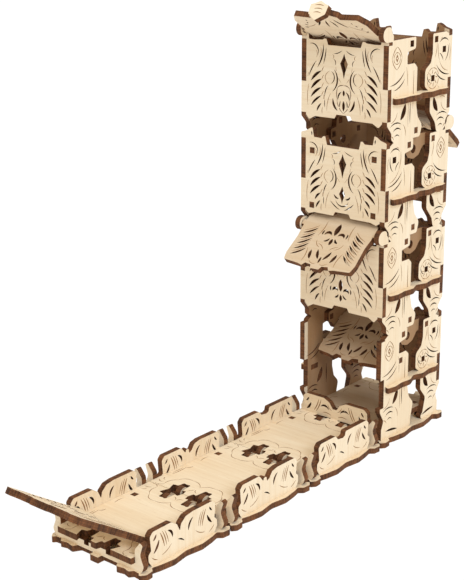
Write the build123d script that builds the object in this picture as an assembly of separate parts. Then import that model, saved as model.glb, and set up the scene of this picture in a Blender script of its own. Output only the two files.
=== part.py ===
from build123d import *

import os
from math import atan2, hypot, radians, tan

# Dice tower and tray of interlocking laser-cut plywood plates, in millimetres.
# +X is to the right of the tower's front, +Y to the back and +Z up.
# The origin is the centre of the tower's own base plate, on the table.

# ---- driving dimensions ----
ply = 4.0                 # plywood thickness of every plate
play = 0.05               # clearance round a glued or pressed tab
half_width = 35.0         # tower centre to the outer face of a side plate
half_depth = 37.5         # tower centre to the outer face of a front or back panel
pitch = 66.5              # height of one level
level_count = 4
unit_length = 79.0        # length of one base or tray unit
tray_count = 3
floor_low = 9.0           # underside of the tray floor plates
floor_top = floor_low + ply

# ---- flap pivots and rest angles ----
pivot_out = 1.5           # how far a front or back pivot stands outside the panel face
pivot_height = 84.0       # above the foot of its level
middle_pivot_height = 71.0
long_arm = 33.0           # pivot to the long end of a flap
short_arm = 16.0
awning_arm = 27.5         # pivot to the outer end of the top flap, which hangs over the front
ear_radius = 4.8
axle_hole_radius = 2.95
axle_pocket = 2.6         # depth of a closed axle hole, from a plate's inner face
stub_end = half_width - ply + axle_pocket - 0.2   # where an axle stub in such a hole ends
stub_half = 2.0           # half the side of a flap's square axle stub
flap_half_width = 28.7
ramp_half_width = 26.4    # the bottom ramp turns between the stack links
flap_tilt = {1: 30.5, 2: 38.5, 3: 40.5, 4: 32.0}   # degrees below level, long arm
ramp_stop = (24.0, 57.5)  # in from the front and up: pegs the bottom ramp rests on

gate_tilt = 33.0          # degrees above level
gate_length = 66.0
gate_half_width = 30.4
gate_pivot = (-260.5, 16.5)   # y and z of the gate's axle

inner_face = half_width - ply          # inside of the side plates
link_low = inner_face - ply            # inside of the stack links
lip_height = 77.0                      # where a panel's lip covers the top of a side plate's edge
eared = ((2, False), (4, False), (3, True))   # (level, back) of the panels that have a flap


# ---- outlines and cut-outs, as loops of lines and arcs in a plate's own plane ----
def rounded_loop(corners, to=lambda u, v: (u, v)):
    """Closed wire through (u, v, radius) corners; each corner is a tangent arc of that radius."""
    points = [to(u, v) for u, v, r in corners]
    count = len(points)
    starts, ends, mids = [], [], []
    for i, (_, _, radius) in enumerate(corners):
        p, before, after = points[i], points[i - 1], points[(i + 1) % count]
        a = (before[0] - p[0], before[1] - p[1])
        b = (after[0] - p[0], after[1] - p[1])
        la, lb = hypot(*a), hypot(*b)
        a, b = (a[0] / la, a[1] / la), (b[0] / lb, b[1] / lb)
        turn = abs(atan2(a[0] * b[1] - a[1] * b[0], a[0] * b[0] + a[1] * b[1]))
        straight = turn > radians(179) or radius == 0
        cut = 0 if straight else radius / tan(turn / 2)
        starts.append((p[0] + a[0] * cut, p[1] + a[1] * cut))
        ends.append((p[0] + b[0] * cut, p[1] + b[1] * cut))
        if straight:
            mids.append(None)
            continue
        to_centre = hypot(cut, radius)
        half = (a[0] + b[0], a[1] + b[1])
        size = hypot(*half)
        reach = (to_centre - radius) / size
        mids.append((p[0] + half[0] * reach, p[1] + half[1] * reach))
    edges = []
    for i in range(count):
        if mids[i]:
            edges.append(ThreePointArc(starts[i], mids[i], ends[i]))
        nxt = starts[(i + 1) % count]
        if hypot(ends[i][0] - nxt[0], ends[i][1] - nxt[1]) > 1e-4:
            edges.append(Line(ends[i], nxt))
    return Wire(edges)


def slit(a, b, width, sag=0.0, to=lambda u, v: (u, v)):
    """Pointed slit from a to b: two arcs, width apart at the middle, bowed sideways by sag."""
    length = hypot(b[0] - a[0], b[1] - a[1])
    across = (-(b[1] - a[1]) / length, (b[0] - a[0]) / length)
    middle = ((a[0] + b[0]) / 2, (a[1] + b[1]) / 2)
    bows = [bow or 0.01 for bow in (sag + width / 2, sag - width / 2)]
    one, two = ((middle[0] + across[0] * bow, middle[1] + across[1] * bow) for bow in bows)
    a, b, one, two = to(*a), to(*b), to(*one), to(*two)
    return Wire([ThreePointArc(a, one, b), ThreePointArc(b, two, a)])


def box_hole(u, v, wide, high, to=lambda u, v: (u, v)):
    """Rectangular mortise centred on u, v, with the clearance of a tab all round."""
    w, h = wide / 2 + play, high / 2 + play
    loop = [(u - w, v - h), (u + w, v - h), (u + w, v + h), (u - w, v + h)]
    return rounded_loop([(x, y, 0) for x, y in loop], to)


def round_hole(u, v, radius, to=lambda u, v: (u, v)):
    centre = to(u, v)
    return Wire([CenterArc((*centre, 0), radius, 0, 360)])


# ---- plates: a face in its own plane, given its thickness ----
def plate(plane, outline, holes, thick):
    return extrude(plane * Face(outline, holes), thick, dir=plane.z_dir)


def plate_x(outline, holes, x_low, thick=ply):
    """Plate standing across X; loops are drawn in y and z."""
    return plate(Plane.YZ.offset(x_low), outline, holes, thick)


def plate_y(outline, holes, y_low, thick=ply):
    """Plate standing across Y; loops are drawn in x and z."""
    return plate(Plane.XZ.offset(-y_low - thick), outline, holes, thick)


def plate_z(outline, holes, z_low, thick=ply):
    """Plate lying flat; loops are drawn in x and y."""
    return plate(Plane.XY.offset(z_low), outline, holes, thick)


def side_x(side):
    """Low X of a side plate on side +1 or -1."""
    return inner_face if side > 0 else -half_width


def pocketed_side(outline, holes, pocket, side):
    """Side plate or wall with one more hole, closed towards its outer face."""
    skin = ply - axle_pocket
    if side > 0:
        return (plate_x(outline, holes + [pocket], inner_face, axle_pocket)
                + plate_x(outline, holes, half_width - skin, skin))
    return (plate_x(outline, holes + [pocket], -inner_face - axle_pocket, axle_pocket)
            + plate_x(outline, holes, -half_width, skin))


def save(name, *solids):
    """Writes one node, of one solid or a group of separate ones."""
    parts = [s for shape in solids for s in shape.solids()]
    node = parts[0] if len(parts) == 1 else Compound(children=parts)
    export_step(node, f"parts/{name}.step")


def foot(level):
    """Height of the reference line of a level, 1 at the bottom."""
    return pitch * (level - 1)


# ---- tower corner plates ----
def top_corners(with_ear):
    """Top front corner of a side plate, with or without the round ear for a flap's axle."""
    behind_lip = ply + play
    lip = [(behind_lip, lip_height, 0), (0, lip_height, 0.4)]
    if not with_ear:
        return [(7.4, 80, 2), (behind_lip, lip_height + 1.2, 0.5)] + lip
    low, high = pivot_height - ear_radius, pivot_height + ear_radius
    front, back = -pivot_out - ear_radius, -pivot_out + ear_radius
    r = ear_radius - 0.05
    return [(5.1, 80, 0), (5.1, 83, 1.2), (back, 85, 1), (back, high, 3.2), (front, high, r),
            (front, low, r), (behind_lip, low, 0)] + lip


def corner_plate(name, side, level, back):
    """Side plate of one corner: u runs inwards from the panel face, v up from the level's foot."""
    z0 = foot(level)

    def to(u, v):
        return (half_depth - u if back else u - half_depth, z0 + v)

    if level == 1:
        bottom = [
            (4.5, 18, 3), (2.0, 12, 2), (2.0, ply, 0), (8, ply, 0), (8, 0, 0), (16, 0, 0),
            (16, ply, 0),
        ]
        bottom += [(26, ply, 2), (21, 9, 2)] if back else [(38, ply, 2), (38, 9, 2)]
    else:
        bottom = [(5.2, 20, 3), (5.2, 16, 1), (8, 13.5, 0.5)]
        bottom += [(16, 13.5, 2)] if back else [(38.5, 13.5, 2)]
    if back:
        inner_edge = [
            (18, 20, 4), (25, 28, 4), (25, 41, 3), (32, 46, 3), (32, 57, 4), (25.5, 61, 3),
            (23.6, 67, 3), (23.6, 80, 1),
        ]
    else:
        inner_edge = [
            (41, 21, 4), (35.5, 27, 4), (33.4, 35, 5), (33.4, 60, 2), (30, 63, 1),
            (21.5, 63, 1), (21.5, 71, 1), (31, 72.5, 2), (31, 80, 1),
        ]
    front_edge = [(0, 49, 0), (ply, 49, 0), (ply, 28, 0), (0, 28, 0), (0, 25.5, 1)]
    with_ear = (level, back) in eared
    outline = rounded_loop(bottom + inner_edge + top_corners(with_ear) + front_edge, to)

    holes = [
        box_hole(12, 41, 8, ply, to),                       # brace tenon
        slit((15, 27.5), (20.5, 38), 4.4, -1.2, to),        # teardrop window
        slit((1.8, 51.2), (19, 59.5), 1.0, -2.4, to),       # two smiling slits
        slit((6.2, 47.6), (19.4, 54.6), 0.9, -1.6, to),
        slit((3.2, 24.0), (16.6, 24.6), 0.9, 2.0, to),      # brow slits
        slit((6.8, 20.6), (16.2, 20.8), 1.0, 2.0, to),
        slit((8.6, 17.0), (14.6, 16.8), 0.7, 1.4, to),
    ]
    holes.append(box_hole(26.5 if not back else 19.5, 76, ply, ply, to))
    if back:
        holes.append(box_hole(22.5, 50.5, ply, ply, to))
        holes.append(slit((25, 47.5), (29.5, 54), 0.8, -1.4, to))
    elif level > 1:
        holes.append(box_hole(34, 18.2, ply, ply, to))
    if not back:
        holes.append(slit((26.4, 23.5), (26.4, 39.5), 0.9, 0.2, to))
    if back != (level == 3):
        holes += [
            box_hole(9.5, 68.5, ply, ply, to),
            slit((4.6, 73.5), (15.6, 73), 1.0, 2.6, to),
            slit((5, 71.6), (8.5, 60.5), 0.9, -2.0, to),
            slit((15.4, 66.5), (10.6, 60.8), 0.8, -1.0, to),
        ]
    if level == 1:
        holes.append(slit((7, 9.2), (22, 7), 1.8, 0.6, to))
        if not back:
            holes.append(box_hole(*ramp_stop, ply, ply, to))
    if with_ear:
        pocket = round_hole(-pivot_out, pivot_height, axle_hole_radius, to)
        save(name, pocketed_side(outline, holes, pocket, side))
    else:
        save(name, plate_x(outline, holes, side_x(side)))


# ---- front and back panels ----
def petal_pair(points, holes, to=lambda u, v: (u, v), sides=(-1, 1)):
    """The same slits on both halves of a panel, or on one."""
    for a, b, width, sag in points:
        for side in sides:
            holes.append(slit((side * a[0], a[1]), (side * b[0], b[1]), width, side * sag, to))


def lily(holes, v0, to, scale=1.0):
    """Fleur-de-lis of separate petals, v0 at its waist."""
    def at(x, v):
        return (x * scale, v0 + v * scale)

    holes.append(slit(at(0, 1.2), at(0, 11.5), 4.0 * scale, 0.1, to))
    petal_pair([
        (at(2.6, 1.2), at(8.0, 0.6), 2.2 * scale, 2.4 * scale),
        (at(9.4, 4.6), at(9.6, 0.2), 1.2 * scale, 0.5 * scale),
        (at(2.2, -1.2), at(6.0, -4.4), 1.5 * scale, -0.9 * scale),
    ], holes, to)
    holes.append(slit(at(0, -1.4), at(0, -7.0), 2.6 * scale, 0.1, to))


def diamond(top, middle, low, half, to, pinch=0.34):
    """Four-pointed cut with hollow flanks, centred across a panel."""
    right = [
        (0, low, 0), (half * pinch, (middle + low) / 2 - 0.4, 0), (half, middle, 0),
        (half * pinch, (middle + top) / 2 + 0.4, 0), (0, top, 0),
    ]
    left = [(-u, v, r) for u, v, r in reversed(right[1:-1])]
    return rounded_loop(right + left, to)


def panel_outline(to, under_flap, over_flap):
    """Outline of a panel: its peaks stand free unless a flap turns on top of it."""
    lobe = 24.8 if over_flap else 23.6
    half = [
        (5.6, 29, 0.6), (7.2, 26.2, 0.6), (23.5, 26.2, 1), (28.2, lobe, 1.2), (31, 26.6, 0.5),
        (31, 28, 0), (35, 28, 0), (35, 49, 0), (31, 49, 0), (31, lip_height + play, 0),
        (35, lip_height + play, 0.4),
    ]
    if under_flap:
        under_ear = pivot_height - ear_radius - 0.15
        half += [(35, under_ear, 0.6), (30.9, under_ear, 0), (30.6, 80.9, 0.4), (29.2, 80.9, 0.4),
                 (29, 77.2, 0.8), (24, 77.0, 0.6), (17.8, 77.4, 0.6), (16.2, 78.2, 0.5),
                 (14.6, 78.2, 0.4), (13.1, 74.2, 0.5)]
    else:
        half += [(35, 80.8, 0.9), (30.4, 82.2, 2), (27.4, 84.1, 0.8), (25.4, 84.7, 0.5),
                 (24.2, 78.4, 0.8), (17.8, 78.2, 0.6), (16.2, 79.8, 0.5), (14.6, 79.8, 0.4),
                 (13.1, 74.2, 0.5)]
    other = [(-u, v, r) for u, v, r in reversed(half)]
    return rounded_loop(half + other, to)


def panel(name, level, back, motif):
    """Pierced panel across the front or back of a level."""
    z0 = foot(level)
    under_flap = (level, back) in eared
    over_flap = (level - 1, back) in eared

    def to(x, v):
        return (x, z0 + v)

    holes = [diamond(69.6, 62.8, 52.8, 3.1, to)]
    petal_pair([
        ((18.2, 56.9), (27.0, 49.6), 2.0, 0.9),       # leaves down each side
        ((18.0, 51.6), (27.1, 44.1), 2.0, 0.9),
        ((18.0, 46.0), (27.2, 38.6), 1.9, 0.9),
        ((18.1, 40.5), (22.8, 35.4) if not under_flap else (26.8, 33.2), 1.6, 0.7),
        ((18.2, 35.4), (22.0, 29.6), 1.4, 0.5),
        ((14.6, 72.8), (16.9, 61.2), 0.8, -0.4),      # double scroll down from the horn
        ((16.8, 75.0), (22.0, 58.6), 1.2, -1.5),
        ((21.3, 66.8), (28.4, 74.2), 0.8, 3.3),       # shoulder hook
        ((22.6, 63.4), (29.0, 52.4), 0.9, 0.5),
        ((8.5, 59.2), (9.6, 43.8), 1.2, -3.8),        # inner scrolls
        ((10.6, 57.4), (10.8, 49.0), 0.8, -3.0),
        ((12.5, 47.8), (15.5, 40.2), 0.8, 0.8),
        ((15.4, 38.4), (15.2, 32.6), 0.6, 0.2),
        ((1.4, 71.7), (8.6, 68.9), 0.6, -0.7),
        ((8.6, 65.4), (7.4, 61.2), 0.6, -1.2),
    ], holes, to)
    if not under_flap:
        petal_pair([((25.9, 79.2), (26.3, 82.4), 0.9, 0.1)], holes, to)
        holes += [box_hole(s * rib_x, v, ply, ply, to) for s in (-1, 1) for v in rib_pegs]
    if motif == "lily":
        lily(holes, 38.9, to, 0.86)
    elif motif == "spade":
        holes.append(diamond(47.6, 42.0, 35.6, 2.5, to))
        holes.append(slit((-5.4, 37.6), (5.4, 37.6), 0.9, -3.9, to))
        petal_pair([
            ((2.6, 38.8), (6.8, 41.4), 1.2, -0.9),
            ((1.6, 31.0), (9.8, 36.6), 0.8, -0.6),
        ], holes, to)
    else:
        holes.append(slit((0, 45.6), (0, 41.6), 1.8, 0.1, to))
        holes.append(slit((0, 38.6), (0, 31.6), 2.2, 0.1, to))
        petal_pair([
            ((1.6, 44.6), (4.6, 38.6), 1.1, 1.0),
            ((2.4, 38.6), (3.0, 33.8), 0.8, 0.3),
            ((8.6, 39.8), (4.6, 31.6), 1.7, 1.3),
        ], holes, to)
    y_low = half_depth - ply if back else -half_depth
    save(name, plate_y(panel_outline(to, under_flap, over_flap), holes, y_low))


rib_x = 25.5              # centre of the stiffening ribs behind a pegged panel
rib_pegs = (31.0, 69.0)   # heights of their tenons above the level's foot
rib_deep = 5.5            # how far a rib stands in from the panel


def ribs(name, level, back):
    """Two upright ribs, with a tenon through the panel at each end."""
    z0 = foot(level)
    low, high = rib_pegs[0] - ply / 2, rib_pegs[1] + ply / 2

    def to(u, v):
        return (half_depth - u if back else u - half_depth, z0 + v)

    corners = [
        (0, low, 0), (ply, low, 0), (ply + 2, low + 2.5, 1), (ply + rib_deep, low + 8, 3),
        (ply + 3.0, (low + high) / 2, 9), (ply + rib_deep, high - 6, 3), (ply + 2, high, 1),
        (0, high, 0), (0, high - ply, 0), (ply, high - ply, 0), (ply, low + ply, 0),
        (0, low + ply, 0),
    ]
    save(name, *[plate_x(rounded_loop(corners, to), [], s * rib_x - ply / 2) for s in (-1, 1)])


# ---- braces, links and pegs that hold the side plates ----
def braces(name, level):
    """Wavy shelves that tie the front and back corner plates together, one each side."""
    z_low = foot(level) + 39.0
    y1, y2 = -half_depth + 12, half_depth - 12     # middles of the two tenons
    tenon = ply                                    # half length of a tenon
    inner, outer = inner_face, half_width
    solids = []
    for side in (-1, 1):
        corners = [
            (outer, -31.5, 0.5), (38.0, -33.0, 1), (39.6, -26, 5), (38.6, -17, 8), (39.9, -8, 5),
            (36.9, 0, 4), (39.9, 8, 5), (38.4, 18, 6), (39.6, 25, 2), (38.0, 31, 1),
            (outer, 30.4, 0.5),
            (outer, y2 + tenon, 0), (inner, y2 + tenon, 0), (inner, y2 - tenon, 0),
            (outer, y2 - tenon, 0), (outer, 9.2, 0), (inner, 9.0, 1.5), (inner, -4.0, 1.5),
            (outer, -4.0, 0), (outer, y1 + tenon, 0), (inner, y1 + tenon, 0),
            (inner, y1 - tenon, 0), (outer, y1 - tenon, 0),
        ]
        loop = rounded_loop(corners, lambda x, y, s=side: (s * x, y))
        solids.append(plate_z(loop, [], z_low))
    save(name, *solids)


link_pegs = ((26.5, 76.0), (55.5, 76.0), (34.0, 18.2 + pitch))   # in from the front, up


def stack_link(name, level):
    """Pair of pawn-shaped plates inside the gap that pin this level to the next one up."""
    z0 = foot(level)

    def to(u, v):
        return (u - half_depth, z0 + v)

    corners = [
        (27, 71.6, 2), (31, 66, 3), (37.5, 64.2, 5), (44, 66, 3), (49, 71.6, 3), (59, 72.6, 2),
        (59, 79.6, 2), (44, 80.6, 3), (39.2, 89, 3), (30, 89, 3), (29, 80.6, 1.5), (23, 79.8, 1.5),
        (23, 72.6, 1.5),
    ]
    holes = [box_hole(u, v, ply, ply, to) for u, v in link_pegs]
    holes.append(round_hole(37.5, middle_pivot_height, axle_hole_radius, to))
    loop = rounded_loop(corners, to)
    save(name, *[
        plate_x(loop, holes, link_low if side > 0 else -inner_face) for side in (-1, 1)
    ])


def square_peg(y, z, x_low, length):
    """Square peg along X."""
    h = ply / 2
    loop = rounded_loop([(y - h, z - h, 0), (y + h, z - h, 0), (y + h, z + h, 0), (y - h, z + h, 0)])
    return plate_x(loop, [], x_low, length)


# ---- flaps ----
def flap_plate(half, stub, awning=False):
    """Flap lying in X and Y: long arm towards +Y, axle stubs along X, centred on its thickness."""
    outer = [
        (half, -15.5, 1.0), (half - 1.8, -18.6, 1.2), (half - 3.6, -22.4, 1.2),
        (11.4, -21.4, 0.8), (11.2, -24.6, 0.8), (5.0, -awning_arm, 0),
    ] if awning else [
        (half, -6, 1.0), (half - 3.5, -9, 2.5), (half - 3.0, -short_arm + 1.5, 1.5),
        (13, -short_arm, 2), (8.5, -short_arm + 2.5, 2), (4.5, -short_arm, 1),
    ]
    edge = [
        (3.4, long_arm + 2.4, 0.8), (4.6, long_arm - 0.4, 0.6), (9.5, long_arm - 1.0, 0.8),
        (11.2, long_arm + 1.6, 0.8), (15, long_arm + 0.6, 1.5), (half - 1.2, long_arm - 0.4, 1.2),
        (half, long_arm - 6, 3), (half - 0.8, 12, 6), (half, 5, 1.5), (half, stub_half, 0),
        (stub, stub_half, 0), (stub, -stub_half, 0), (half, -stub_half, 0),
    ] + outer
    other = [(-u, v, r) for u, v, r in reversed(edge)]
    holes = []
    lily(holes, 6.5, lambda u, v: (u, -v + 14.5), 1.0)
    leaves = [((half - 3.4, 27.6 - 4.7 * i), (half - 13.2, 20.4 - 4.4 * i), 1.6, -0.8)
              for i in range(5)]
    petal_pair(leaves, holes)
    petal_pair([
        ((8.4, 28.6), (10.6, 21.0), 2.4, 0.5),
        ((1.8, 27.4), (5.6, 19.8), 2.2, 0.5),
    ], holes)
    holes.append(slit((0, 30.6), (0, 25.0), 1.7, 0.1))
    if awning:
        petal_pair([
            ((1.4, -19.0), (3.4, -9.8), 1.4, -0.6), ((5.6, -21.8), (12.2, -10.6), 1.5, 0.8),
            ((18.0, -18.0), (18.2, -16.2), 1.0, 0.1), ((19.3, -14.4), (19.9, -12.6), 1.1, 0.1),
            ((20.8, -10.2), (23.2, -11.4), 1.1, 0.2), ((22.6, -6.2), (25.4, -7.4), 1.1, 0.2),
        ], holes)
    return plate_z(rounded_loop(edge + other), holes, -ply / 2)


def awning_tab():
    """Small lobed plate glued across the outer end of the top flap, to lift it by."""
    right = [(4.6, 3.4, 1.0), (7.0, 2.8, 0.8), (6.6, -3.6, 0.8), (3.2, -5.8, 1.0)]
    left = [(-x, z, r) for x, z, r in reversed(right)]
    outline = rounded_loop([(0, 5.6, 1.5)] + right + [(0, -8.0, 0.8)] + left)
    return plate_y(outline, [], -awning_arm - ply)


def turned(plate, y, z, angle):
    """Puts a plate made on its axle at y, z, its +Y arm at angle degrees above level."""
    return Pos(0, y, z) * Rot(angle, 0, 0) * plate


def flap(name, level):
    """One flap, at its rest angle: outwards, inwards or, at the bottom, as the exit ramp."""
    tilt = flap_tilt[level]
    if level == 1:
        y, z = 0.0, middle_pivot_height
        plate, angle = flap_plate(ramp_half_width, inner_face - 0.3), 180 + tilt
    elif level == 3:
        y, z = half_depth + pivot_out, foot(level) + pivot_height
        plate, angle = flap_plate(flap_half_width, stub_end), -tilt
    else:
        y, z = -half_depth - pivot_out, foot(level) + pivot_height
        top = level == level_count
        plate = flap_plate(flap_half_width, stub_end, awning=top)
        angle = -tilt if top else 180 + tilt
    tab = [turned(awning_tab(), y, z, angle)] if level == level_count else []
    save(name, turned(plate, y, z, angle), *tab)


# ---- base and tray ----
def unit_centre(unit):
    """Middle of a base unit: 0 is under the tower, 1 to 3 run forwards."""
    return -unit_length * unit


rib_y = 34.5              # middle of an end rib, from its unit's middle
rib_tenon_x, rib_tenon = 24.0, 7.0
link_x, lap_height = 9.2, 6.5     # where a unit link crosses an end rib, and how high they lap
floor_peg = (25.2, 20.0)          # x and y of a floor peg, from its unit's middle


def base_plate(name, unit):
    """Lowest plate, with a wavy edge and openings that show the link discs."""
    y0, end = unit_centre(unit), unit_length / 2

    def to(x, y):
        return (x, y0 + y)

    quarter = [
        (3.4, end, 0.5), (3.4, end - 5, 0.6), (15.5, end - 5, 1.5), (18.5, end, 1.5),
        (24, end - 1.2, 2), (28.5, end, 1.2), (30.5, end - 2.6, 1), (34.8, end - 2.2, 1),
        (36.6, end, 1), (39.4, end - 3.5, 2), (38.9, end - 9, 1.5), (36, end - 11.5, 1.5),
        (37.4, end - 17, 3), (38.9, 12, 8), (37, 0, 12),
    ]
    right = quarter + [(x, -y, r) for x, y, r in reversed(quarter[:-1])]
    left = [(-x, y, r) for x, y, r in reversed(right)]
    holes = [box_hole(s * 33, v * 17, ply, 8, to) for s in (-1, 1) for v in (-1, 1)] if unit else [
        box_hole(s * 33, v * (half_depth - 12), ply, 8, to) for s in (-1, 1) for v in (-1, 1)
    ]
    holes += [box_hole(s * rib_tenon_x, v * rib_y, rib_tenon, ply, to) for s in (-1, 1) for v in (-1, 1)]
    holes += [slit((s * 4, v * 20), (s * 17, v * 10), 4, s * v * 2.5, to)
              for s in (-1, 1) for v in (-1, 1)]
    save(name, plate_z(rounded_loop(right + left, to), holes, 0.0))


def floor_plate(name, unit):
    """Floor that the dice roll over, with a half rosette cut into each end."""
    y0, end = unit_centre(unit), unit_length / 2

    def to(x, y):
        return (x, y0 + y)

    wide = inner_face - play
    quarter = [
        (2.2, end - 0.1, 0), (3.2, end - 4.2, 0.8), (5.6, end - 3.4, 0.5), (6.4, end - 12, 1),
        (9.2, end - 11.4, 1), (12, end - 12, 1), (12.6, end - 7.2, 0.6), (16.4, end - 6.4, 0.5),
        (14.2, end - 0.1, 0), (wide, end - 0.1, 0.5), (wide, 0, 0),
    ]
    right = quarter + [(x, -y, r) for x, y, r in reversed(quarter[:-1])]
    left = [(-x, y, r) for x, y, r in reversed(right) if x > 0]
    holes = [box_hole(s * floor_peg[0], floor_peg[1], ply, ply, to) for s in (-1, 1)]
    save(name, plate_z(rounded_loop(right + left, to), holes, floor_low))


def floor_pegs(unit):
    """Square pegs that stand on a base plate and hold the floor plate in place."""
    x, y, h = floor_peg[0], unit_centre(unit) + floor_peg[1], ply / 2
    loops = [rounded_loop([(s * x - h, y - h, 0), (s * x + h, y - h, 0), (s * x + h, y + h, 0),
                           (s * x - h, y + h, 0)]) for s in (-1, 1)]
    return [plate_z(loop, [], ply, floor_top - ply) for loop in loops]


def end_ribs(name, unit):
    """The two ribs across a unit: they carry the floor and rise outside it as curved horns."""
    y0 = unit_centre(unit)
    low, high = rib_tenon_x - rib_tenon / 2, rib_tenon_x + rib_tenon / 2
    lap = ply / 2 + play
    foot_tenon = [(low, ply, 0), (low, 0, 0), (high, 0, 0), (high, ply, 0)]
    horn = [
        (36, ply, 2.5), (38.0, 8.5, 2.5), (35.2, 15, 5), (37.6, 22.0, 0.8), (35.4, 23.0, 0.8),
        (31.1, 17.5, 4), (31.1, floor_low, 0),
    ]
    plain_end = [(30.6, ply, 1), (30.6, floor_low, 0)]
    top = [
        (link_x + lap, floor_low, 0), (link_x + lap, lap_height, 0), (link_x - lap, lap_height, 0),
        (link_x - lap, floor_low, 0),
    ]
    right = foot_tenon + (horn if unit else plain_end) + top
    left = [(-x, z, r) for x, z, r in reversed(right)]
    loop = rounded_loop(right + left)
    save(name, *[plate_y(loop, [], y0 + v * rib_y - ply / 2) for v in (-1, 1)])


wall_top = 25.5
wall_notch = {                # between the two lobes of each unit's walls, from front to back
    1: [(-9.5, wall_top, 1.5), (-6.8, 22.4, 1.2), (-1.2, 21.6, 0.8), (1.0, 22.6, 0.8),
        (1.8, wall_top, 1.2)],
    2: [(-9.5, wall_top, 3), (-5.6, 20.6, 0.5), (-5.2, 22.8, 1), (-2.6, 22.8, 1),
        (-2.2, 19.4, 0.6), (0.4, 20.8, 1), (3.0, 24.4, 2), (8, wall_top, 2)],
    3: [(-10, wall_top, 3), (-5.4, 22.4, 2.5), (-3.0, 17.2, 0.3), (-2.0, 21.2, 1.5),
        (2.0, 24.6, 3), (8, wall_top, 2)],
}


def tray_wall(name, unit, side):
    """Low twin-lobed wall along a tray unit."""
    y0 = unit_centre(unit)

    def to(y, z):
        return (y0 + y, z)

    end = [
        (13, ply, 0), (13, 0, 0), (21, 0, 0), (21, ply, 0), (27, ply, 1), (29.5, 8, 1.5),
        (29.5, 12, 2), (27.2, 14, 1.2), (28.0, wall_top - 2.5, 1.5), (25.6, wall_top, 2),
    ]
    other_end = [(-y, z, r) for y, z, r in reversed(end)]
    outline = rounded_loop(end + wall_notch[unit][::-1] + other_end, to)
    gated = unit == tray_count
    holes = []
    petal_pair([
        ((22.8, 22.8), (25.2, 19.6), 1.3, -0.3), ((20.6, 18.4), (25.0, 11.6), 1.7, -0.6),
    ], holes, to, (1,) if gated else (-1, 1))
    holes += [
        slit((-13.4, 21.6), (-9.4, 15.6), 1.6, 1.5, to),
        slit((8.6, 21.8), (4.4, 14.4), 1.6, -1.3, to),
        slit((-5.0, 12.6), (0.6, 9.6), 1.0, 0.5, to),
    ]
    if gated:
        pocket = round_hole(gate_pivot[0] - y0, gate_pivot[1], axle_hole_radius, to)
        save(name, pocketed_side(outline, holes, pocket, side))
    else:
        save(name, plate_x(outline, holes, side_x(side)))


def entrance_wall(name):
    """Twin-lobed sill between the tower and the tray."""
    y_low = -half_depth - 5.0
    top = [
        (29.5, floor_top, 0), (29.8, 17, 1), (28, 19.5, 1.2), (27.8, 24.5, 1.5), (25, 27, 2),
        (9.5, 27, 3), (4.6, 24.6, 3), (1.6, 20.4, 0.8),
    ]
    left = [(-x, z, r) for x, z, r in reversed(top)]
    holes = []
    petal_pair([
        ((22.8, 24.4), (25.2, 21.2), 1.3, -0.3), ((20.8, 21.0), (24.8, 15.2), 1.7, -0.6),
        ((12.4, 19.6), (5.0, 18.6), 1.5, -2.2),
    ], holes)
    save(name, plate_y(rounded_loop(top + left), holes, y_low))


def unit_links(name):
    """Round-headed clips that lap over the end ribs of two neighbouring units, two a seam."""
    lap, end = rib_y - ply / 2 - play, rib_y + ply / 2 + play
    far, near = unit_length / 2 - lap, unit_length / 2 - end
    right = [
        (near, 4.2, 0.5), (near, lap_height, 0), (far, lap_height, 0), (far, 4.2, 0.5),
        (10.8, 4.2, 2.4), (10.8, 13.4, 4.1), (2.5, 13.4, 4.1), (2.5, 8.6, 0.8),
    ]
    left = [(-y, z, r) for y, z, r in reversed(right)]
    solids = []
    for seam in range(tray_count):
        y0 = -unit_length / 2 - unit_length * seam
        loop = rounded_loop(right + left, lambda y, z, y0=y0: (y0 + y, z))
        solids += [plate_x(loop, [], side * link_x - ply / 2) for side in (-1, 1)]
    save(name, *solids)


def gate(name):
    """Drop front of the tray: a pierced panel on an axle between the last two walls."""
    half = [
        (6.5, gate_length, 0.8), (7.6, gate_length - 3, 0.8), (20, gate_length - 3, 1),
        (24, gate_length - 0.6, 1.5), (gate_half_width, gate_length - 3, 1.2),
        (gate_half_width, gate_length - 20, 1), (gate_half_width - 1.4, gate_length - 22, 1),
        (gate_half_width - 1.4, 12, 1), (gate_half_width, 9, 1), (gate_half_width, stub_half, 0),
        (stub_end, stub_half, 0), (stub_end, -stub_half, 0), (16, -stub_half, 0),
        (13, 1.0, 0.5),
    ]
    other = [(-x, y, r) for x, y, r in reversed(half)]
    holes = []
    lily(holes, 24.0, lambda u, v: (u, v), 1.08)
    holes.append(slit((0, 58), (0, 42), 4.6, 0.1))
    petal_pair([((16.4 + 0.3 * i, 52 - 6.2 * i), (25.8 - 0.2 * i, 45 - 6.2 * i), 2.0, 0.9)
                for i in range(6)], holes)
    petal_pair([
        ((5, 50), (9.4, 35), 1.4, 3.2),
        ((13.0, 58.0), (19.5, 55.0), 1.1, 2.0),
        ((14.0, 31), (14.6, 15), 1.1, -0.8),
    ], holes)
    plate = plate_z(rounded_loop(half + other), holes, -ply / 2)
    y, z = gate_pivot
    save(name, turned(plate, y, z, 180 - gate_tilt))


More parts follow.
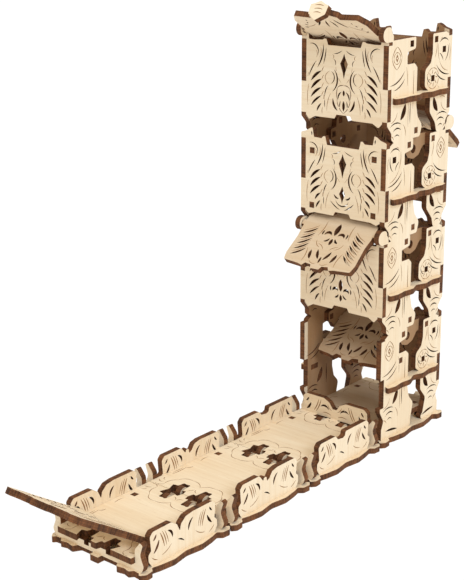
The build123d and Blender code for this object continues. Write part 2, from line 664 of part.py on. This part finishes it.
def main():
    os.makedirs("parts", exist_ok=True)
    motifs = {2: "lily", 3: "spade", 4: "shield"}
    for level in range(1, level_count + 1):
        for side, side_name in ((-1, "left"), (1, "right")):
            corner_plate(f"side_front_{side_name}_{level}", side, level, back=False)
            corner_plate(f"side_back_{side_name}_{level}", side, level, back=True)
        braces(f"braces_{level}", level)
        if level > 1:
            panel(f"front_panel_{level}", level, False, motifs[level])
        panel(f"back_panel_{level}", level, True, motifs.get(5 - level, "spade"))
        ribs(f"ribs_{level}", level, back=level != 3)
        flap(f"flap_{level}", level)
        if level < level_count:
            stack_link(f"stack_links_{level}", level)
    pegs = []
    for level in range(1, level_count):
        for u, v in link_pegs:
            y, z = u - half_depth, foot(level) + v
            pegs += [square_peg(y, z, link_low, 2 * ply), square_peg(y, z, -half_width, 2 * ply)]
    y, z = ramp_stop[0] - half_depth, ramp_stop[1]
    pegs += [square_peg(y, z, x, 11) for x in (-half_width, half_width - 11)]
    for unit in range(tray_count + 1):
        pegs += floor_pegs(unit)
        base_plate(f"base_plate_{unit}", unit)
        floor_plate(f"floor_plate_{unit}", unit)
        end_ribs(f"end_ribs_{unit}", unit)
        if unit:
            for side, side_name in ((-1, "left"), (1, "right")):
                tray_wall(f"tray_wall_{side_name}_{unit}", unit, side)
    save("pegs", *pegs)
    entrance_wall("entrance_wall")
    unit_links("unit_links")
    gate("gate")


main()
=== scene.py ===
import math

import bpy
import numpy as np
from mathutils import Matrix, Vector


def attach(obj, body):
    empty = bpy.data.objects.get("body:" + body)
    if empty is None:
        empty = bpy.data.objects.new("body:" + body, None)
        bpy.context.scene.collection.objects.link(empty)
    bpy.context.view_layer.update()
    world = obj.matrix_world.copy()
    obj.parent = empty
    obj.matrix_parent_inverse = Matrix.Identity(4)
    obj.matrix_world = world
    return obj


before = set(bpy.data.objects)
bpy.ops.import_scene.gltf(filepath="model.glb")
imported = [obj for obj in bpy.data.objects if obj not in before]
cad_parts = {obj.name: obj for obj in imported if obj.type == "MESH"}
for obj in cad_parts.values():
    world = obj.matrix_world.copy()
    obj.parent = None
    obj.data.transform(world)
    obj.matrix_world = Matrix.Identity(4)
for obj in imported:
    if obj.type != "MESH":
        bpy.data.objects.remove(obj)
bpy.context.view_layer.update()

mm = 0.001
print("frame loaded:", len(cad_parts), "plates")


# small helpers
def linear(hexColour):
    # sRGB hex to linear RGBA
    channels = [int(hexColour[i:i + 2], 16) / 255 for i in (1, 3, 5)]
    return [c / 12.92 if c <= 0.04045 else ((c + 0.055) / 1.055) ** 2.4 for c in channels] + [1.0]


def addNode(tree, kind, settings=None, inputs=None):
    # one node: settings are its own properties, inputs are values or links by socket name or index
    node = tree.nodes.new(kind)
    for key, value in (settings or {}).items():
        setattr(node, key, value)
    for key, value in (inputs or {}).items():
        if isinstance(value, bpy.types.NodeSocket):
            tree.links.new(value, node.inputs[key])
        else:
            node.inputs[key].default_value = value
    return node


def plateNormal(obj):
    # the direction that most of a plate's area faces, and the lowest point of the plate along it
    mesh = obj.data
    count = len(mesh.polygons)
    normals, areas = np.zeros(count * 3), np.zeros(count)
    mesh.polygons.foreach_get("normal", normals)
    mesh.polygons.foreach_get("area", areas)
    normals = normals.reshape(-1, 3)
    spread = (normals * areas[:, None]).T @ normals
    best = np.linalg.eigh(spread)[1][:, -1].round(4)
    best = best * (1 if best[np.argmax(np.abs(best))] > 0 else -1)
    points = np.zeros(len(mesh.vertices) * 3)
    mesh.vertices.foreach_get("co", points)
    along = points.reshape(-1, 3) @ best
    if best[0] > 0.9:
        along = np.abs(along)
    return best, along.min()


# materials
birch = {
    "plyThickness": 4.0 * mm,
    "faceLight": "#EDDBBE",
    "faceDark": "#E3CBA8",
    "pore": "#CDAE84",
    "shadedAndSmoked": "#8A5A24",         # painted shade on faces inside the tower, with some smoke stain from the cutter
    "charLight": "#7C4D2A",
    "charDark": "#432712",
    "charGlue": "#2A1408",
    "grainWidth": 0.9 * mm,      # width of a growth streak on rotary-cut birch
    "poreWidth": 0.22 * mm,      # drawn coarser than the real 0.1 mm so that it shows
    "striation": 0.28 * mm,      # pitch of the ripples a laser leaves on the cut
}


def squashAlong(tree, position, direction, keep):
    # position with its part along direction scaled by keep, so a pattern stretches that way
    part = addNode(tree, "ShaderNodeVectorMath", {"operation": "DOT_PRODUCT"}, {0: position, 1: direction})
    scaled = addNode(tree, "ShaderNodeVectorMath", {"operation": "SCALE"},
                     {0: direction, "Scale": part.outputs["Value"]})
    away = addNode(tree, "ShaderNodeVectorMath", {"operation": "SCALE"},
                   {0: scaled.outputs[0], "Scale": keep - 1})
    return addNode(tree, "ShaderNodeVectorMath", {"operation": "ADD"},
                   {0: position, 1: away.outputs[0]}).outputs[0]


def insideTower(tree, position):
    # 1 inside the dice shaft, 0 outside it
    parts = addNode(tree, "ShaderNodeSeparateXYZ", None, {0: position})
    masks = []
    for axis, middle, reach in (("X", 0, 31.2), ("Y", 0, 33.8), ("Z", 150, 137.5)):
        masks.append(addNode(tree, "ShaderNodeMath", {"operation": "COMPARE"}, {
            0: parts.outputs[axis], 1: middle * mm, 2: reach * mm}).outputs[0])
    both = addNode(tree, "ShaderNodeMath", {"operation": "MULTIPLY"}, {0: masks[0], 1: masks[1]})
    return addNode(tree, "ShaderNodeMath", {"operation": "MULTIPLY"}, {
        0: both.outputs[0], 1: masks[2]}).outputs[0]


def laserCutBirch(name, normal, low, grain, shadeAndStain):
    # three-ply birch: pale matt rotary-cut faces, and edges that the laser charred brown
    material = bpy.data.materials.new(name)
    material.use_nodes = True
    tree = material.node_tree
    shader = tree.nodes["Principled BSDF"]
    place = addNode(tree, "ShaderNodeTexCoord")
    position = place.outputs["Object"]
    normal, grain = tuple(normal), tuple(grain)

    # face: streaks of growth rings along the grain, broad figure, and fine pores
    streakPlace = squashAlong(tree, position, grain, 0.03)
    streak = addNode(tree, "ShaderNodeTexNoise", None, {
        "Vector": streakPlace, "Scale": 1 / birch["grainWidth"] / 3, "Detail": 5.0, "Roughness": 0.62})
    figure = addNode(tree, "ShaderNodeTexNoise", None, {
        "Vector": squashAlong(tree, position, grain, 0.25), "Scale": 45.0, "Detail": 3.0,
        "Distortion": 0.6})
    pore = addNode(tree, "ShaderNodeTexNoise", None, {
        "Vector": squashAlong(tree, position, grain, 0.09), "Scale": 1 / birch["poreWidth"] / 3,
        "Detail": 2.0})
    mixture = addNode(tree, "ShaderNodeMath", {"operation": "MULTIPLY_ADD"}, {
        0: streak.outputs[0], 1: 0.55, 2: 0.0})
    mixture = addNode(tree, "ShaderNodeMath", {"operation": "MULTIPLY_ADD"}, {
        0: figure.outputs[0], 1: 0.45, 2: mixture.outputs[0]})
    tone = addNode(tree, "ShaderNodeMapRange", None, {
        "Value": mixture.outputs[0], "From Min": 0.36, "From Max": 0.64})
    face = addNode(tree, "ShaderNodeMix", {"data_type": "RGBA"}, {
        "Factor": tone.outputs[0], "A": linear(birch["faceLight"]), "B": linear(birch["faceDark"])})
    poreMask = addNode(tree, "ShaderNodeMapRange", None, {
        "Value": pore.outputs[0], "From Min": 0.62, "From Max": 0.74, "To Max": 0.45})
    face = addNode(tree, "ShaderNodeMix", {"data_type": "RGBA"}, {
        "Factor": poreMask.outputs[0], "A": face.outputs["Result"], "B": linear(birch["pore"])})

    if max(shadeAndStain) > 0:                      # painted shade with some smoke stain, outside and inside the dice shaft
        # faces inside the shaft are darkened towards the smoked colour: mostly painted shade, partly smoke
        # stain
        shadeAndSmoke = addNode(tree, "ShaderNodeMath", {"operation": "MULTIPLY_ADD"}, {
            0: insideTower(tree, position), 1: shadeAndStain[1] - shadeAndStain[0], 2: shadeAndStain[0]})
        face = addNode(tree, "ShaderNodeMix", {"data_type": "RGBA"}, {
            "Factor": shadeAndSmoke.outputs[0], "A": face.outputs["Result"], "B": linear(birch["shadedAndSmoked"])})

    # edge: char that ripples across the sheet, with the two glue lines of three-ply
    depth = addNode(tree, "ShaderNodeVectorMath", {"operation": "DOT_PRODUCT"}, {0: position, 1: normal})
    depth = depth.outputs["Value"]
    if normal[0] > 0.9:
        depth = addNode(tree, "ShaderNodeMath", {"operation": "ABSOLUTE"}, {0: depth}).outputs[0]
    layer = addNode(tree, "ShaderNodeMath", {"operation": "MULTIPLY_ADD"}, {
        0: depth, 1: 1 / birch["plyThickness"], 2: -low / birch["plyThickness"]})
    fromMiddle = addNode(tree, "ShaderNodeMath", {"operation": "PINGPONG"}, {0: layer.outputs[0], 1: 0.5})
    glue = addNode(tree, "ShaderNodeMath", {"operation": "COMPARE"}, {
        0: fromMiddle.outputs[0], 1: 0.31, 2: 0.035})
    ripple = addNode(tree, "ShaderNodeTexNoise", None, {
        "Vector": squashAlong(tree, position, normal, 0.12), "Scale": 1 / birch["striation"] / 3,
        "Detail": 3.0})
    scorch = addNode(tree, "ShaderNodeTexNoise", None, {
        "Vector": position, "Scale": 160.0, "Detail": 3.0})
    burn = addNode(tree, "ShaderNodeMath", {"operation": "MULTIPLY_ADD"}, {
        0: ripple.outputs[0], 1: 0.5, 2: 0.0})
    burn = addNode(tree, "ShaderNodeMath", {"operation": "MULTIPLY_ADD"}, {
        0: scorch.outputs[0], 1: 0.5, 2: burn.outputs[0]})
    burnTone = addNode(tree, "ShaderNodeMapRange", None, {
        "Value": burn.outputs[0], "From Min": 0.38, "From Max": 0.62})
    edge = addNode(tree, "ShaderNodeMix", {"data_type": "RGBA"}, {
        "Factor": burnTone.outputs[0], "A": linear(birch["charDark"]), "B": linear(birch["charLight"])})
    glueMask = addNode(tree, "ShaderNodeMath", {"operation": "MULTIPLY"}, {0: glue.outputs[0], 1: 0.5})
    edge = addNode(tree, "ShaderNodeMix", {"data_type": "RGBA"}, {
        "Factor": glueMask.outputs[0], "A": edge.outputs["Result"], "B": linear(birch["charGlue"])})

    # the sheet's own face or its cut edge, told apart by which way the surface looks
    facing = addNode(tree, "ShaderNodeVectorMath", {"operation": "DOT_PRODUCT"}, {
        0: place.outputs["Normal"], 1: normal})
    facing = addNode(tree, "ShaderNodeMath", {"operation": "ABSOLUTE"}, {0: facing.outputs["Value"]})
    isFace = addNode(tree, "ShaderNodeMath", {"operation": "GREATER_THAN"}, {0: facing.outputs[0], 1: 0.7})
    colour = addNode(tree, "ShaderNodeMix", {"data_type": "RGBA"}, {
        "Factor": isFace.outputs[0], "A": edge.outputs["Result"], "B": face.outputs["Result"]})
    tree.links.new(colour.outputs["Result"], shader.inputs["Base Color"])
    rough = addNode(tree, "ShaderNodeMapRange", None, {
        "Value": isFace.outputs[0], "To Min": 0.86, "To Max": 0.62})
    tree.links.new(rough.outputs[0], shader.inputs["Roughness"])
    height = addNode(tree, "ShaderNodeMix", {"data_type": "FLOAT"}, {
        "Factor": isFace.outputs[0], "A": ripple.outputs[0], "B": streak.outputs[0]})
    bump = addNode(tree, "ShaderNodeBump", None, {
        "Height": height.outputs["Result"], "Strength": 0.25, "Distance": 0.1 * mm})
    tree.links.new(bump.outputs[0], shader.inputs["Normal"])
    shader.inputs["IOR"].default_value = 1.5
    shader.inputs["Specular IOR Level"].default_value = 0.35
    return material


madeMaterials = {}


# how strongly painted shade, with some smoke stain, darkens a plate outside the shaft and inside it
shadeAndSmokeStain = {
    "side": (0.0, 0.82), "front": (0.0, 0.82), "back": (0.0, 0.82), "ribs": (0.0, 0.82),
    "stack": (0.0, 0.82), "flap": (0.06, 0.6), "flap_2": (0.3, 0.6), "floor_plate_0": (0.0, 0.4),
}


def dressPlate(nodeName, obj):
    normal, low = plateNormal(obj)
    if nodeName == "pegs":                  # both pairs of sawn ends are charred
        normal, low = np.array([0.0, 1.0, 0.0]), 0.0
    kind = nodeName.split("_")[0]
    shadeAndStain = shadeAndSmokeStain.get(nodeName, shadeAndSmokeStain.get(kind, (0.0, 0.0)))
    key = (tuple(np.round(normal, 3)), round(low / mm % 4, 1), shadeAndStain)
    if key not in madeMaterials:
        alongX = abs(normal[0]) < 0.9
        grain = (1.0, 0.0, 0.0) if alongX else (0.0, 0.0, 1.0)
        madeMaterials[key] = laserCutBirch(f"laser-cut birch plywood {len(madeMaterials) + 1}",
                                           normal, low, grain, shadeAndStain)
    obj.data.materials.clear()
    obj.data.materials.append(madeMaterials[key])


topFlap = {
    "pivot": (0, -39, 283.5),    # mm
    "tilt": 32.0,                # degrees that the outer arm rises
    "tabStart": 27.5,            # mm from the pivot to the tab's inner face
    "seam": 0.05,                # mm of slack in telling the tab's faces from the flap's
}


def alongTopFlap():
    # the pivot, the way the outer arm points, and the way its upper face looks
    tilt = math.radians(topFlap["tilt"])
    return (np.array(topFlap["pivot"]) * mm, np.array([0, -math.cos(tilt), math.sin(tilt)]),
            np.array([0, math.sin(tilt), math.cos(tilt)]))


def dressTab(obj):
    # the tab stands across the end of the top flap, so its faces look along the flap
    pivot, outwards, upwards = alongTopFlap()
    centres = np.zeros(len(obj.data.polygons) * 3)
    obj.data.polygons.foreach_get("center", centres)
    reach = (centres.reshape(-1, 3) - pivot) @ outwards
    low = pivot @ outwards + topFlap["tabStart"] * mm
    obj.data.materials.append(laserCutBirch("laser-cut birch plywood of the tab", outwards, low,
                                            (1.0, 0.0, 0.0), (0.0, 0.0)))
    onTab = reach > (topFlap["tabStart"] - topFlap["seam"]) * mm
    obj.data.polygons.foreach_set("material_index", onTab.astype(np.int32))


for nodeName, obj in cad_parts.items():
    dressPlate(nodeName, obj)
dressTab(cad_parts["flap_4"])
print("plates dressed in", len(madeMaterials), "plywood materials")

# laser-engraved lines
engraving = {
    "width": 0.46 * mm,
    "sunk": 0.25 * mm,
    "proud": 0.025 * mm,
    "samples": 18,
    "clear": 0.4 * mm,           # a line stops this far from a cut or an edge
    "scorch": "#9A6C3C",
    "deepScorch": "#4A2A14",
}


def scorchMaterial(name, colour, dark):
    material = bpy.data.materials.new(name)
    material.use_nodes = True
    tree = material.node_tree
    shader = tree.nodes["Principled BSDF"]
    place = addNode(tree, "ShaderNodeTexCoord")
    pulse = addNode(tree, "ShaderNodeTexNoise", None, {
        "Vector": place.outputs["Object"], "Scale": 900.0, "Detail": 2.0})
    tone = addNode(tree, "ShaderNodeMix", {"data_type": "RGBA"}, {
        "Factor": pulse.outputs[0], "A": linear(dark), "B": linear(colour)})
    tree.links.new(tone.outputs["Result"], shader.inputs["Base Color"])
    shader.inputs["Roughness"].default_value = 0.9
    return material


fineScorch = scorchMaterial("laser-scored line", engraving["scorch"], "#7A5028")
deepScorch = scorchMaterial("deep laser-scored line", "#6A4022", engraving["deepScorch"])


def mirrored(strokes):
    return strokes + [((-a[0], a[1]), (-b[0], b[1]), -sag, wide) for a, b, sag, wide in strokes]


def circleStrokes(u, v, radius, wide, count=6):
    # a ring of short arcs
    angles = np.arange(count + 1) * 2 * math.pi / count
    corners = [(u + radius * math.cos(a), v + radius * math.sin(a)) for a in angles]
    bow = radius * (1 - math.cos(math.pi / count))
    return [(corners[i], corners[i + 1], -bow, wide) for i in range(count)]


def lozengeStrokes(u, v, across, tall, bow, wide):
    corners = [(u + across, v), (u, v + tall), (u - across, v), (u, v - tall)]
    return [(corners[i], corners[(i + 1) % 4], bow, wide) for i in range(4)]


def strokeRuns(plateObject, axes, stroke):
    # the parts of one stroke that lie on the plate's own face, as rows of left and right points
    origin, uAxis, vAxis, outward = axes
    a, b, sag, wide = stroke
    t = np.linspace(0, 1, engraving["samples"])
    a, b = np.array(a) * mm, np.array(b) * mm
    along = b - a
    across = np.array([-along[1], along[0]]) / np.hypot(*along)
    centre = a + t[:, None] * along + across * (4 * sag * mm * t * (1 - t))[:, None]
    tangent = np.gradient(centre, axis=0)
    tangent /= np.linalg.norm(tangent, axis=1)[:, None]
    sideways = np.stack([-tangent[:, 1], tangent[:, 0]], 1)
    half = engraving["width"] * wide / 2 * (0.3 + 0.7 * np.sin(math.pi * t))
    left, right = centre + sideways * half[:, None], centre - sideways * half[:, None]
    toPlate = plateObject.matrix_world.inverted()
    down = toPlate.to_3x3() @ Vector(-outward)
    reach = half + engraving["clear"]
    onFace = []
    for i in range(len(t)):
        good = True
        for offset in (-reach[i], 0, reach[i]):
            spot = centre[i] + sideways[i] * offset
            start = origin + spot[0] * uAxis + spot[1] * vAxis + outward * mm
            hit, place, _, _ = plateObject.ray_cast(toPlate @ Vector(start), down, distance=1.05 * mm)
            good = good and hit
        onFace.append(good)
    runs, first = [], None
    for i, good in enumerate(onFace + [False]):
        if good and first is None:
            first = i
        if not good and first is not None:
            if i - first >= 4:
                runs.append((left[first:i], right[first:i]))
            first = None
    return runs


def engrave(name, nodeName, body, axes, strokes, material):
    # closed ribbons let into a plate's face, one solid for each stroke
    origin, uAxis, vAxis, outward = axes = [np.array(axis, float) for axis in axes]
    flip = np.dot(np.cross(uAxis, vAxis), outward) < 0
    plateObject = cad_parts[nodeName]
    points, faces, start = [], [], 0
    for stroke in strokes:
        for left, right in strokeRuns(plateObject, axes, stroke):
            count = len(left)
            ring = []
            for flat, height in ((left, -engraving["sunk"]), (right, -engraving["sunk"]),
                                 (right, engraving["proud"]), (left, engraving["proud"])):
                ring.append(origin + flat[:, :1] * uAxis + flat[:, 1:] * vAxis + outward * height)
            points.append(np.stack(ring, 1).reshape(-1, 3))
            i = start + 4 * np.arange(count - 1)[:, None]
            sides = [i + np.array(loop)
                     for loop in ((3, 2, 6, 7), (0, 4, 5, 1), (1, 5, 6, 2), (0, 3, 7, 4))]
            caps = start + np.array([[0, 1, 2, 3], 4 * count - 1 - np.arange(4)])
            faces.append(np.concatenate(sides + [caps]))
            start += 4 * count
    if not faces:
        return 0
    faces = np.concatenate(faces)
    if flip:
        faces = faces[:, ::-1]
    mesh = bpy.data.meshes.new(name)
    mesh.from_pydata(np.concatenate(points).tolist(), [], faces.tolist())
    mesh.materials.append(material)
    line = bpy.data.objects.new(name, mesh)
    bpy.context.scene.collection.objects.link(line)
    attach(line, body)
    return len(faces)


across, upward, deep = (1, 0, 0), (0, 0, 1), (0, 1, 0)
levelPitch, unitLength = 66.5, 79.0
panelLines = mirrored([
    ((11.6, 57.4), (12.2, 48.4), 3.3, 1.0),
    ((15.6, 46.6), (15.9, 31.0), 0.3, 1.3),
    ((9.4, 68.4), (9.0, 65.6), -0.9, 1.0),
    ((6.6, 60.4), (2.2, 50.4), 0.9, 0.9),
    ((23.8, 62.8), (29.8, 52.6), 0.6, 0.9),
    ((10.6, 42.6), (13.6, 30.6), 0.9, 0.9),
    ((17.2, 33.0), (17.4, 28.4), 0.3, 1.0),
    ((22.6, 65.4), (22.8, 70.4), 0.8, 0.9),
    ((28.6, 48.0), (29.4, 33.0), 0.8, 0.9),
    ((19.2, 72.4), (20.0, 66.0), -0.9, 0.9),
] + [((16.4, 59.8 - 5.4 * i), (18.2, 56.2 - 5.4 * i), 0.2, 1.0) for i in range(4)])
shieldLines = mirrored([
    ((0.0, 48.6), (4.9, 47.0), 0.7, 1.2),
    ((4.9, 47.0), (5.4, 39.6), 0.6, 1.2),
    ((5.4, 39.6), (0.0, 30.2), 1.3, 1.2),
])
emblemLines = (lozengeStrokes(9.6, 68.2, 5.6, 7.4, -0.9, 1.4) + circleStrokes(9.6, 68.2, 3.7, 1.2)
               + lozengeStrokes(9.6, 68.2, 1.6, 2.6, 0.4, 1.8))
eyeLines = [
    ((16.8, 73.0), (15.0, 61.4), 1.0, 1.2), ((14.8, 61.0), (4.6, 53.8), 1.6, 1.1),
    ((3.4, 71.8), (3.0, 60.4), -1.2, 1.0), ((6.2, 75.6), (14.6, 75.4), 1.4, 1.0),
]
rosetteLines = circleStrokes(22.5, 50.5, 6.9, 1.1, 8) + [
    ((22.5 + 3.1 * math.cos(a), 50.5 + 3.1 * math.sin(a)),
     (22.5 + 5.8 * math.cos(a + 0.3), 50.5 + 5.8 * math.sin(a + 0.3)), 0.3, 1.4)
    for a in np.arange(8) * math.pi / 4 + 0.4]
frontCornerLines = [
    ((29.4, 58.5), (29.4, 33.0), 0.0, 1.4), ((24.2, 22.0), (24.2, 39.0), 0.2, 1.1),
    ((4.0, 26.8), (11.4, 33.0), -1.6, 1.0), ((3.6, 18.4), (8.0, 15.4), 0.8, 1.2),
    ((18.4, 24.2), (21.6, 16.4), 1.0, 1.2), ((20.6, 61.4), (22.0, 49.0), 0.6, 1.0),
]
backCornerLines = [
    ((4.0, 26.8), (11.4, 33.0), -1.6, 1.0), ((3.6, 18.4), (8.0, 15.4), 0.8, 1.2),
    ((18.6, 74.0), (20.8, 64.0), -0.8, 1.2), ((6.4, 35.6), (12.6, 37.0), 0.8, 1.1),
    ((16.0, 44.8), (12.8, 36.6), -0.8, 1.0),
]
floorLines = []
for end in (-1, 1):
    floorLines += mirrored([
        ((0.0, 26.2 * end), (9.4, 21.6 * end), -1.7 * end, 1.0),
        ((9.4, 21.6 * end), (18.4, 26.4 * end), -2.2 * end, 1.0),
        ((18.4, 26.4 * end), (21.6, 36.2 * end), -1.7 * end, 1.0),
        ((21.6, 36.2 * end), (27.2, 38.6 * end), 1.2 * end, 1.0),
        ((0.5, 30.4 * end), (3.6, 33.4 * end), 0.7 * end, 1.0),
        ((28.6, 33.0 * end), (24.4, 34.6 * end), 0.9, 1.1),
        ((27.6, 28.6 * end), (25.4, 31.4 * end), 0.7, 1.1),
    ])
floorLines += mirrored([
    ((27.2, -22.5), (27.0, -9.5), 0.4, 1.2), ((28.6, -20.5), (28.4, -11.0), 0.2, 1.0),
    ((27.0, -9.5), (24.6, -5.4), 0.9, 1.1), ((27.0, 12.0), (26.6, 4.0), 0.6, 1.0),
])
wallLines = mirrored([
    ((19.6, 22.6), (16.2, 12.8), -0.5, 2.0), ((17.6, 22.8), (14.4, 13.0), -0.5, 1.6),
    ((15.6, 22.4), (12.8, 14.0), -0.4, 1.2), ((26.8, 9.6), (22.0, 6.4), 0.4, 1.2),
    ((10.4, 12.0), (18.6, 8.0), -0.8, 1.1),
])
gateWallLines = [((-22.8, 22.8), (-25.2, 19.6), 0.3, 3.2), ((-20.6, 18.4), (-25.0, 11.6), 0.6, 4.0)]
entranceLines = mirrored([
    ((14.0, 24.8), (18.2, 15.6), -0.6, 1.6), ((12.0, 25.0), (16.4, 15.2), -0.6, 1.6),
    ((2.4, 19.0), (6.0, 23.0), -0.8, 1.2), ((3.0, 15.2), (10.4, 15.8), 0.8, 1.1),
])
flapLines = mirrored([((25.2, 25.3 - 4.7 * i), (15.6, 18.2 - 4.4 * i), -0.8, 1.1) for i in range(5)] + [
    ((1.8, 31.4), (7.6, 29.6), 0.9, 1.0), ((13.4, 31.4), (14.6, 20.0), -0.9, 1.2),
    ((11.4, -4.0), (12.6, 9.0), 0.9, 1.2), ((13.0, -13.0), (23.6, -7.6), 0.9, 1.1),
    ((6.0, 18.0), (11.0, 12.4), 1.2, 1.0), ((2.6, 19.0), (8.2, 15.2), -0.8, 1.0),
])
gateLines = mirrored([((26.0, 48.4 - 6.2 * i), (16.6, 55.2 - 6.2 * i), -0.8, 1.2) for i in range(6)] + [
    ((10.4, 52.0), (14.0, 34.0), 1.6, 1.2), ((2.0, 40.6), (7.6, 38.6), 1.0, 1.1),
    ((24.4, 61.4), (28.0, 47.0), 0.7, 1.1), ((15.8, 31.0), (16.6, 14.0), -0.8, 1.1),
    ((5.4, 9.6), (12.4, 5.0), 0.8, 1.1),
])


def tiltedAxes(y, z, degrees, face):
    # a flap's own plane, on the face towards its +Z (face 1) or away from it (face -1)
    angle = math.radians(degrees)
    outward = face * np.array([0, -math.sin(angle), math.cos(angle)])
    origin = np.array([0, y, z]) * mm + outward * 2 * mm
    return origin, across, (0, math.cos(angle), math.sin(angle)), outward


def engraveTower():
    total = 0
    for level in (1, 2, 3, 4):
        height = levelPitch * (level - 1) * mm
        for face, yFace, uAxis in (("front", -1, (1, 0, 0)), ("back", 1, (-1, 0, 0))):
            if face == "back" or level > 1:
                axes = ((0, yFace * 37.5 * mm, height), uAxis, upward, (0, yFace, 0))
                node = f"{face}_panel_{level}"
                total += engrave(f"scored_lines_{node}", node, "frame", axes, panelLines, fineScorch)
                if (face, level) in (("front", 4), ("back", 1)):
                    total += engrave(f"scored_shield_{node}", node, "frame", axes, shieldLines, deepScorch)
            flapSide = (face == "back") == (level == 3)
            for side, sideName in ((-1, "left"), (1, "right")):
                node = f"side_{face}_{sideName}_{level}"
                axes = ((side * 35 * mm, yFace * 37.5 * mm, height), (0, -yFace, 0), upward, (side, 0, 0))
                strokes = (frontCornerLines if face == "front" else backCornerLines + rosetteLines)
                strokes = strokes + ([] if flapSide else eyeLines)
                total += engrave(f"scored_lines_{node}", node, "frame", axes, strokes, fineScorch)
                if flapSide:
                    total += engrave(f"scored_emblem_{node}", node, "frame", axes, emblemLines, fineScorch)
    return total


def engraveTray():
    total = 0
    for unit in (0, 1, 2, 3):
        y = -unitLength * unit * mm
        total += engrave(f"scored_lines_floor_{unit}", f"floor_plate_{unit}", "frame",
                         ((0, y, 13 * mm), across, deep, upward), floorLines, fineScorch)
        for side, sideName in ((-1, "left"), (1, "right")):
            for xFace, sense in ((35, side), (31, -side)):
                if unit:
                    node = f"tray_wall_{sideName}_{unit}"
                    axes = ((side * xFace * mm, y, 0), deep, upward, (sense, 0, 0))
                    total += engrave(f"scored_lines_{node}_{xFace}", node, "frame", axes,
                                     wallLines, fineScorch)
                    if unit == 3:
                        total += engrave(f"deep_lines_{node}_{xFace}", node, "frame", axes,
                                         gateWallLines, deepScorch)
    total += engrave("scored_lines_entrance", "entrance_wall", "frame",
                     ((0, -42.5 * mm, 0), across, upward, (0, -1, 0)), entranceLines, fineScorch)
    return total


tabLines = [((-3.4 + 0.3 * i, 2.4 - 2.5 * i), (3.6 - 0.3 * i, 2.2 - 2.5 * i), 0.5, 1.3)
            for i in range(3)]


def engraveFlaps():
    total = 0
    for body, y, z, degrees in (("flap_1", 0, 71, 210.5), ("flap_2", -39, 150.5, 218.5),
                                ("flap_3", 39, 217, -40.5), ("flap_4", -39, 283.5, -32),
                                ("gate", -260.5, 16.5, 147)):
        for face in (-1, 1):
            lines = gateLines if body == "gate" else flapLines
            name = f"scored_lines_{body}_{'top' if face > 0 else 'under'}"
            total += engrave(name, body, body, tiltedAxes(y, z, degrees, face), lines, fineScorch)
    # three short strokes on the tab at the outer end of the top flap
    pivot, outwards, upwards = alongTopFlap()
    tab = pivot + outwards * topFlap["tabStart"] * mm + outwards * birch["plyThickness"]
    total += engrave("scored_lines_tab", "flap_4", "flap_4", (tab, across, upwards, outwards),
                     tabLines, fineScorch)
    return total


bpy.context.view_layer.update()
print("engraved faces:", engraveTower(), engraveTray(), engraveFlaps())

# stage, light and camera
stage = {
    "floor": "#FFFFFF",
    "floorSize": 40.0,
    "camera": (519.4, -748.8, 385.2),      # mm
    "yaw": 41.0,                           # degrees left of +Y
    "pitch": -17.5,
    "roll": -0.6,
    "lens": 83.1,
}


def makeFloor():
    half = stage["floorSize"] / 2
    mesh = bpy.data.meshes.new("studioFloor")
    mesh.from_pydata([(-half, -half, 0), (half, -half, 0), (half, half, 0), (-half, half, 0)], [],
                     [(0, 1, 2, 3)])
    floor = bpy.data.objects.new("studioFloor", mesh)
    bpy.context.scene.collection.objects.link(floor)
    floor.location.z = -0.05 * mm
    material = bpy.data.materials.new("backlit white acrylic")
    material.use_nodes = True
    shader = material.node_tree.nodes["Principled BSDF"]
    shader.inputs["Base Color"].default_value = linear("#3C3A38")
    shader.inputs["Roughness"].default_value = 0.9
    shader.inputs["Emission Color"].default_value = linear("#FFFFFF")
    shader.inputs["Emission Strength"].default_value = 0.99
    mesh.materials.append(material)


def aim(lampObject, place, target):
    lampObject.location = place
    lampObject.rotation_euler = (Vector(target) - Vector(place)).to_track_quat("-Z", "Y").to_euler()


def makeLight(name, kind, power, size, place, colour, target=(0, -0.1, 0.1)):
    lamp = bpy.data.lights.new(name, kind)
    lamp.energy = power
    lamp.color = linear(colour)[:3]
    if kind == "SUN":
        lamp.angle = size
    else:
        lamp.size = size
    lampObject = bpy.data.objects.new(name, lamp)
    bpy.context.scene.collection.objects.link(lampObject)
    aim(lampObject, place, target)


def makeCamera():
    yaw, pitch, roll = (math.radians(stage[k]) for k in ("yaw", "pitch", "roll"))
    forward = Vector((-math.sin(yaw) * math.cos(pitch), math.cos(yaw) * math.cos(pitch),
                      math.sin(pitch)))
    right = forward.cross(Vector((0, 0, 1))).normalized()
    up = right.cross(forward)
    tiltedRight = right * math.cos(roll) + up * math.sin(roll)
    tiltedUp = -right * math.sin(roll) + up * math.cos(roll)
    camera = bpy.data.cameras.new("studioCamera")
    camera.lens, camera.sensor_width = stage["lens"], 36
    cameraObject = bpy.data.objects.new("studioCamera", camera)
    bpy.context.scene.collection.objects.link(cameraObject)
    matrix = cameraObject.matrix_world.copy()
    for column, axis in enumerate((tiltedRight, tiltedUp, -forward)):
        for row in range(3):
            matrix[row][column] = axis[row]
    matrix.translation = Vector(stage["camera"]) * mm
    cameraObject.matrix_world = matrix
    bpy.context.scene.camera = cameraObject


makeFloor()
makeLight("keyWindow", "SUN", 1.6, 0.35, (1.0, -0.42, 0.75), "#DCEBFF", (0, 0, 0))
makeLight("overheadSoftbox", "AREA", 5.0, 1.0, (0.1, -0.2, 1.25), "#FFFAF2")
makeCamera()
world = bpy.data.worlds.new("studio")
bpy.context.scene.world = world
world.use_nodes = True
world.node_tree.nodes["Background"].inputs["Color"].default_value = linear("#FFF7E8")
world.node_tree.nodes["Background"].inputs["Strength"].default_value = 0.7
bpy.context.scene.view_settings.view_transform = "Standard"
print("stage ready")
